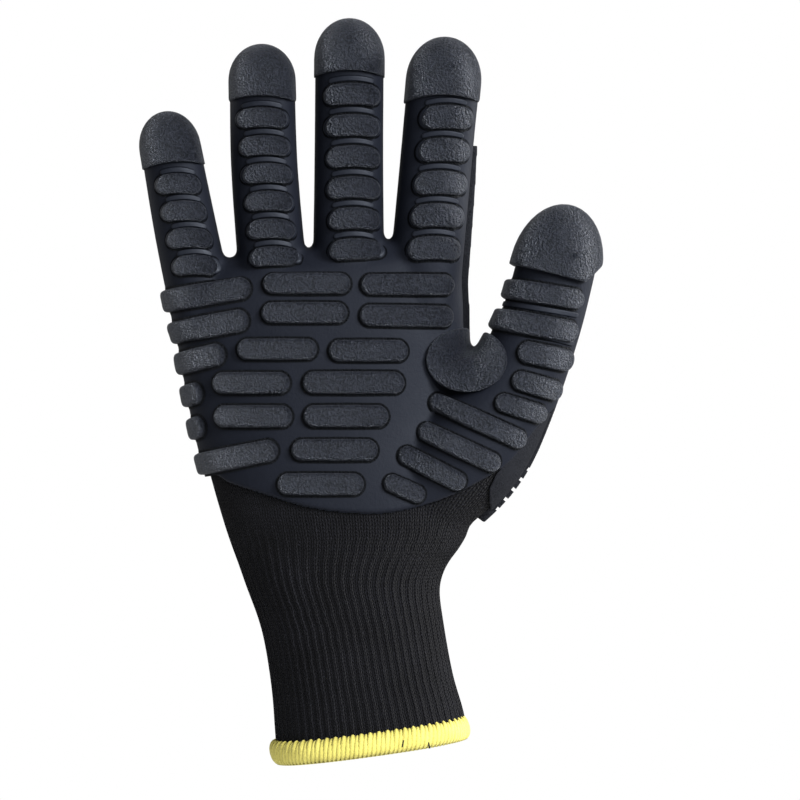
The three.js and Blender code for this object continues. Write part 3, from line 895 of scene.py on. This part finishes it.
flange = plate("flange", FLANGE_LIFT, FLANGE, -FAR_OUT, GUARD_FRONT_Y + 2, hand_form, 0.45, 3)
cut_by(guard_thumb, flange, "UNION")
drop(flange)
drop(under_skin)

# %% Square teeth along the thumb guard's lower outer edge
(x0, z0), (x1, z1) = NOTCHES["start"], NOTCHES["end"]
for share in np.linspace(0, 1, NOTCHES["count"]):
    place = Vector((x0 + share * (x1 - x0), 0, z0 + share * (z1 - z0))) * MM
    deselect()
    bpy.ops.mesh.primitive_cube_add(size=1, location=place, scale=Vector(NOTCHES["size"]) * MM)
    notch = bpy.context.active_object
    notch.rotation_euler = (0, math.atan2(x1 - x0, z1 - z0) - math.pi / 2, 0)
    cut_by(guard_thumb, notch, "DIFFERENCE")
    drop(notch)
for guard in (guard_index, guard_thumb):
    smooth_shaded(guard, 60)
    print(guard.name, len(guard.data.polygons), "faces")

# %% [markdown]
# ## Hem
# The cuff's edge is overlocked with yellow yarn: thread is wound round the edge, loop beside loop. One
# loop is a small closed tube, and it is copied all round the wrist, each copy leaning a little. Two short
# black thread ends lie on the band.

# %% One yarn loop
HEM_LOOPS = 124
HEM_HEIGHT = 8.5
HEM_OUT = 0.7  # the loop's middle line stands off the knit's outer face by this
HEM_IN = -2.3
NORMAL_POWER = 1.14  # turns a place on the section's outline to the way it faces
YARN_WIDE = 0.84  # half the yarn's width along the edge
YARN_THICK = 0.62
LOOP_LEAN = 1.3  # how far the loop's top leans along the edge
HEM_BULGE = 0.8  # the band's outer side is domed by this
LOOP_OFFSET = 0.55  # every second loop reaches this much higher
LOOP_STEPS = 20
LOOP_SIDES = 6


def loop_path(tall):
    """The loop's middle line round the knit's edge: height, stand-off and lean, in millimetres."""
    path = []
    for turn in np.linspace(0, 2 * np.pi, LOOP_STEPS, endpoint=False):
        up, out = squared(math.sin(turn), 0.75), squared(math.cos(turn), 0.6)
        low, high = YARN_THICK, HEM_HEIGHT - YARN_THICK + tall
        bulge = HEM_BULGE * (1 - up**2) if out > 0 else 0
        path.append((
            (low + high) / 2 + up * (high - low) / 2,
            (HEM_OUT + HEM_IN) / 2 + out * (HEM_OUT - HEM_IN) / 2 + bulge,
            LOOP_LEAN * up * (1 if out > 0 else 0.2),
        ))
    return path


print("a loop is", LOOP_STEPS * LOOP_SIDES, "faces")

# %% Loops wound round the wrist
THREAD_ENDS = [(12.2, 5.1, 2.4, 10), (21.4, 4.7, 3.2, -12)]  # x, z, length and lean of each
THREAD_RADIUS = 0.28


def wrist_point(share, height, off, lean):
    """A point by the knit's edge, at a share of the way round it."""
    heights = [row[0] for row in BODY_ROWS]
    x, y, w, d = [np.interp(height, heights, [row[i] for row in BODY_ROWS]) for i in (1, 2, 3, 4)]
    turn = np.interp(share % 1, share_at_turn, all_turns)
    tilt = math.radians(HEM_TILT)
    right = Vector((math.cos(tilt), 0, math.sin(tilt)))
    upward = Vector((-math.sin(tilt), 0, math.cos(tilt)))
    back = Vector((0, 1, 0))
    on = right * (x + w * squared(math.cos(turn))) + back * (y + d * squared(math.sin(turn)))
    outward = right * squared(math.cos(turn), NORMAL_POWER) / w
    outward += back * squared(math.sin(turn), NORMAL_POWER) / d
    outward.normalize()
    onward = upward.cross(outward)
    return on + outward * off + upward * height + onward * lean


verts, faces, painted_yarn_shade = [], [], []
for loop in range(HEM_LOOPS):
    share = loop / HEM_LOOPS
    path = [wrist_point(share, *row) for row in loop_path(LOOP_OFFSET * (loop % 2))]
    middle = sum(path, Vector()) / len(path)
    first = len(verts)
    for k, at in enumerate(path):
        run = (path[(k + 1) % LOOP_STEPS] - path[k - 1]).normalized()
        out = (at - middle).normalized()
        out = (out - run * out.dot(run)).normalized()
        side = run.cross(out)
        edge = math.sin(2 * np.pi * k / LOOP_STEPS) ** 2
        wide = YARN_WIDE * (1.5 - 0.5 * edge)  # the turns spread and merge over the middle of the band
        for turn in np.linspace(0, 2 * np.pi, LOOP_SIDES, endpoint=False):
            verts.append((at + out * math.cos(turn) * YARN_THICK + side * math.sin(turn) * wide) * MM)
            # Painted shade on the sides of each turn, where it meets its neighbours: strong at the band's
            # top and bottom edges, faint over its middle.
            painted_yarn_shade.append((0.15 + 0.85 * edge) * abs(math.sin(turn)))
    for k in range(LOOP_STEPS):
        for j in range(LOOP_SIDES):
            here, there = first + k * LOOP_SIDES, first + (k + 1) % LOOP_STEPS * LOOP_SIDES
            onward = (j + 1) % LOOP_SIDES
            faces.append((here + j, here + onward, there + onward, there + j))
mesh = bpy.data.meshes.new("hem_yarn")
mesh.from_pydata(verts, [], faces)
hem_yarn = linked("hem_yarn", mesh)
mark(mesh, "painted_shade", painted_yarn_shade)
hem_surface = Surface(hem_yarn)
threads = []
for x, z, length, lean in THREAD_ENDS:
    at, _ = hem_surface.seen(x, z)
    deselect()
    bpy.ops.mesh.primitive_cylinder_add(vertices=8, radius=THREAD_RADIUS * MM, depth=length * MM,
                                        location=at, rotation=(0, math.radians(lean), 0))
    threads.append(bpy.context.active_object)
    mark(threads[-1].data, "dark", np.ones(len(threads[-1].data.vertices)))
hem_yarn = joined("hem_yarn", [hem_yarn, *threads])
smooth_shaded(hem_yarn, 80)
print("hem:", len(hem_yarn.data.polygons), "faces")

# %% [markdown]
# ## Materials
# Three kinds of finish: black knit whose stitches are drawn from the wale and course numbers, rubber, and
# yellow yarn. The rubber comes smooth for the skin, a little paler for the lips and ridges as a painted
# highlight, pebbled for the bars, caps and web pad, and dull for the guards. The grain's colour is lighter
# on its peaks as painted glints and darker in its pits as painted shade. Where a piece is marked with
# painted shade it turns dark, in the groove round a bar, at the foot of a cap or the web's pad, and in the
# furrow between two turns of yarn. Each finish is built from nodes, so it holds at any distance.

# %% Short ways to add nodes
def put(socket, value):
    """Sets a socket, or links another socket to it."""
    if isinstance(value, bpy.types.NodeSocket):
        socket.id_data.links.new(value, socket)
    else:
        socket.default_value = value


def add_node(tree, kind, inputs, **settings):
    node = tree.nodes.new("ShaderNode" + kind)
    for key, value in settings.items():
        setattr(node, key, value)
    for key, value in inputs.items():
        put(node.inputs[key], value)
    return node


def calculate(tree, operation, *values):
    return add_node(tree, "Math", dict(enumerate(values)), operation=operation).outputs[0]


def scaled(tree, value, factor, plus):
    return calculate(tree, "MULTIPLY_ADD", value, factor, plus)


def new_finish(name, **sockets):
    """A material with its Principled sockets set; words in a socket's name are joined with _."""
    material = bpy.data.materials.new(name)
    material.use_nodes = True
    body = material.node_tree.nodes["Principled BSDF"]
    for key, value in sockets.items():
        put(body.inputs[key.replace("_", " ")], value)
    return material, material.node_tree, body


def object_noise(tree, scale, detail=3, roughness=0.6):
    place = add_node(tree, "TexCoord", {}).outputs["Object"]
    inputs = {"Vector": place, "Scale": scale, "Detail": detail, "Roughness": roughness}
    return add_node(tree, "TexNoise", inputs).outputs[0]


def marked(tree, name):
    return add_node(tree, "Attribute", {}, attribute_name=name).outputs["Fac"]


def blend(tree, share, colour, other):
    """From one colour to another; the first may be a socket."""
    first = colour if isinstance(colour, bpy.types.NodeSocket) else (*colour, 1)
    inputs = {"Factor": share, 6: first, 7: (*other, 1)}
    return add_node(tree, "Mix", inputs, data_type="RGBA").outputs[2]


def bumped(tree, body, height, distance):
    inputs = {"Height": height, "Distance": distance * MM}
    put(body.inputs["Normal"], add_node(tree, "Bump", inputs).outputs[0])


# %% Black knit
KNIT_COLOURS = (0.0004, 0.0004, 0.0007), (0.0145, 0.015, 0.0205)
KNIT_RELIEF = 1.0
WALE_WOBBLE, COURSE_WOBBLE, FUZZ, KNIT_PATCHES, SPECKS = 500, 350, 1400, 60, 1100  # noises per metre


def knit_finish(name, dark, light):
    """Stitches as V-shaped legs, two in each wale, with fuzz and a few pale fibres over them."""
    material, tree, body = new_finish(name, Roughness=0.95, Specular_IOR_Level=0.05, Sheen_Weight=0.035,
                                      Sheen_Roughness=0.6)
    place = add_node(tree, "UVMap", {}, uv_map="knit").outputs[0]
    wale, course, _ = add_node(tree, "SeparateXYZ", {0: place}).outputs
    wale = scaled(tree, object_noise(tree, WALE_WOBBLE), 0.7, wale)
    course = scaled(tree, object_noise(tree, COURSE_WOBBLE), 0.8, course)
    across = calculate(tree, "SUBTRACT", calculate(tree, "FRACT", wale), 0.5)
    from_middle = calculate(tree, "ABSOLUTE", across)
    off_leg = calculate(tree, "ABSOLUTE", calculate(tree, "SUBTRACT", from_middle, 0.25))
    off_leg = calculate(tree, "POWER", calculate(tree, "MULTIPLY", off_leg, 4), 2)
    leg = calculate(tree, "SUBTRACT", 1, off_leg)
    phase = calculate(tree, "SUBTRACT", course, calculate(tree, "MULTIPLY", from_middle, 1.3))
    bead = calculate(tree, "COSINE", calculate(tree, "MULTIPLY", phase, 2 * math.pi))
    stitch = calculate(tree, "MULTIPLY", leg, scaled(tree, bead, 0.3, 0.7))
    fuzz = object_noise(tree, FUZZ)
    speck = calculate(tree, "GREATER_THAN", object_noise(tree, SPECKS, 1), 0.7)
    shade = calculate(tree, "MULTIPLY", scaled(tree, fuzz, 0.5, stitch), object_noise(tree, KNIT_PATCHES))
    put(body.inputs["Base Color"], blend(tree, scaled(tree, speck, 0.8, shade), dark, light))
    bumped(tree, body, scaled(tree, fuzz, 0.9, stitch), KNIT_RELIEF)
    return material


knit = knit_finish("black_knit", *KNIT_COLOURS)

# %% Rubber, smooth and pebbled
# One dark colour for painted shade in grooves, at feet and between turns of yarn, and for the black thread
# ends.
PAINTED_SHADE_AND_THREAD_BLACK = (0.0014, 0.0017, 0.0026)
RUBBERS = {  # dark colour, light colour, grain and its depth in mm, roughness, contrast, shine
    "slate_rubber_smooth": ((0.003, 0.004, 0.0075), (0.008, 0.0095, 0.016), 1.2, 0.12, 0.55, 0.5, 0.2),
    # The trim rubber is the skin's rubber made paler, a painted highlight on the lips and ridges.
    "slate_rubber_trim": ((0.004, 0.005, 0.009), (0.0115, 0.014, 0.0215), 1.2, 0.12, 0.45, 0.5, 0.3),
    "slate_rubber_pebbled": ((0.0015, 0.0023, 0.006), (0.0235, 0.027, 0.041), 0.85, 5.5, 0.33, 5.5, 0.9),
    "guard_rubber": ((0.006, 0.0065, 0.008), (0.022, 0.023, 0.028), 0.6, 0.5, 0.8, 2.0, 0.06),
}
FINE_GRAIN, CLOUDS, GRAIN_PATCHES = 2600, 55, 130  # noises per metre


def rubber_finish(name, dark, light, grain, depth, roughness, contrast, shine):
    """Moulded rubber: a grain that comes and goes, with painted glints on its peaks and painted shade in
    its pits, cloudy dullness, and dark dull painted shade where a piece is marked.
    """
    material, tree, body = new_finish(name, Specular_Tint=(0.8, 0.87, 1, 1))
    pebbles = object_noise(tree, 1 / (grain * MM), 2)
    fine = object_noise(tree, FINE_GRAIN, 2)
    clouds = object_noise(tree, CLOUDS)
    painted_shade = marked(tree, "painted_shade")
    # Patches where the grain, and the painted glints and shade on it, are stronger or fainter.
    grain_and_glint_strength = scaled(tree, object_noise(tree, GRAIN_PATCHES), 2.4, -0.4)
    pebbles = scaled(tree, calculate(tree, "SUBTRACT", pebbles, 0.5), grain_and_glint_strength, 0.5)
    # The grain's colour is lighter on its peaks and darker in its pits: painted glints and painted shade.
    shade = scaled(tree, clouds, 0.5, scaled(tree, pebbles, contrast, -0.5 * contrast + 0.25))
    open_colour = blend(tree, shade, dark, light)
    # Painted shade: where a piece is marked, its colour turns dark and it reflects less.
    put(body.inputs["Base Color"], blend(tree, painted_shade, open_colour, PAINTED_SHADE_AND_THREAD_BLACK))
    put(body.inputs["Specular IOR Level"], scaled(tree, painted_shade, -0.75 * shine, shine))
    dull = scaled(tree, painted_shade, 0.25, scaled(tree, clouds, 0.2, roughness - 0.1))
    put(body.inputs["Roughness"], scaled(tree, pebbles, 0.15, dull))
    bumped(tree, body, scaled(tree, fine, 0.4, pebbles), depth)
    return material


rubber_smooth, rubber_trim, rubber_pebbled, guard_rubber = (
    rubber_finish(name, *row) for name, row in RUBBERS.items()
)

# %% Yellow yarn
YARN_COLOURS = (0.16, 0.135, 0.005), (0.78, 0.7, 0.17)
FIBRES, YARN_PATCHES = 1800, 120  # noises per metre


def yarn_finish(name, dark, light):
    """Yarn with fine fibres, turned olive by painted shade between its turns, and black where it is marked
    dark.
    """
    material, tree, body = new_finish(name, Roughness=0.7, Specular_IOR_Level=0.3, Sheen_Weight=0.1)
    fibres = object_noise(tree, FIBRES)
    shade = scaled(tree, object_noise(tree, YARN_PATCHES), 0.6, scaled(tree, fibres, 0.6, 0.25))
    # Painted shade between the turns darkens the yellow towards olive.
    shade = scaled(tree, marked(tree, "painted_shade"), -0.95, shade)
    yellow = blend(tree, shade, dark, light)
    put(body.inputs["Base Color"], blend(tree, marked(tree, "dark"), yellow, PAINTED_SHADE_AND_THREAD_BLACK))
    bumped(tree, body, fibres, 0.15)
    return material


yarn = yarn_finish("yellow_yarn", *YARN_COLOURS)
print("finishes:", knit.name, ", ".join(RUBBERS), yarn.name)

# %% Finishes, bodies and the CAD nodes that the pieces stand for
hand_nodes = ["knit_palm", "knit_knuckles"] + [f"knit_{name}_stall" for name in DIGIT_ROWS]
finishes = [  # piece, material, slot of the record, CAD nodes
    (knit_hand, knit, "knit", hand_nodes),
    (ribbed_cuff, knit, "knit", ["knit_cuff"]),
    (rubber_skin, rubber_smooth, "facing_rubber", ["rubber_facing"]),
    (rubber_bars, rubber_pebbled, "facing_rubber", ["rubber_facing"]),
    (rubber_trims, rubber_trim, "facing_rubber", ["rubber_facing"]),
    (rubber_caps, rubber_pebbled, "facing_rubber", ["rubber_facing"]),
    (rubber_web_pad, rubber_pebbled, "facing_rubber", ["rubber_facing"]),
    (guard_index, guard_rubber, "guard_rubber", ["index_guard"]),
    (guard_thumb, guard_rubber, "guard_rubber", ["thumb_guard"]),
    (hem_yarn, yarn, "hem_yarn", ["hem"]),
]
for piece, material, slot, nodes in finishes:
    piece.data.materials.clear()
    piece.data.materials.append(material)
    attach(piece, "root")
    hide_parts(*nodes)
drop(hand_form)
drop(skin_form)
print(len(finishes), "pieces ride on the root body")

# %% [markdown]
# ## Studio
# The picture is a cut-out on white, so the camera sees a white world that lights the glove only faintly.
# The light comes from soft lamps: a strong one from the upper right, a small one from the front that
# draws the grain, and two behind the glove that brighten its outline. A pale floor lies below it.

# %% Floor, white surroundings and soft lights
FLOOR_Z = -0.13
WHITE = (1, 1, 1, 1)
WORLD_LIGHT = 0.3
LAMPS = {  # place, power in watts, size
    "key": ((0.75, -0.7, 0.6), 20, 0.4),
    "front": ((0.4, -1.15, 0.55), 5.5, 0.15),
    "rim": ((0.9, 0.3, 0.35), 7.5, 0.5),
    "left_rim": ((-0.9, 0.3, 0.4), 1.5, 0.6),
}
deselect()
bpy.ops.mesh.primitive_circle_add(vertices=96, radius=0.35, fill_type="NGON", location=(0, 0, FLOOR_Z))
floor = bpy.context.active_object
floor.name = "floor"
floor.data.materials.append(new_finish("pale_floor", Base_Color=(0.8, 0.8, 0.8, 1), Roughness=0.9)[0])

world = bpy.data.worlds.new("studio")
bpy.context.scene.world = world
world.use_nodes = True
tree = world.node_tree
lighting = tree.nodes["Background"]
put(lighting.inputs["Color"], WHITE)
put(lighting.inputs["Strength"], WORLD_LIGHT)
seen = add_node(tree, "Background", {"Color": WHITE, "Strength": 1})
by_camera = add_node(tree, "LightPath", {}).outputs["Is Camera Ray"]
mixed = add_node(tree, "MixShader", {"Fac": by_camera, 1: lighting.outputs[0], 2: seen.outputs[0]})
put(tree.nodes["World Output"].inputs["Surface"], mixed.outputs[0])
for name, (place, power, size) in LAMPS.items():
    data = bpy.data.lights.new(name, "AREA")
    data.energy = power
    data.size = size
    light = linked(name, data)
    light.location = place
    light.rotation_euler = (VIEW_MIDDLE - Vector(place)).to_track_quat("-Z", "Y").to_euler()
bpy.context.scene.view_settings.view_transform = "Standard"
print(len(LAMPS), "lamps")
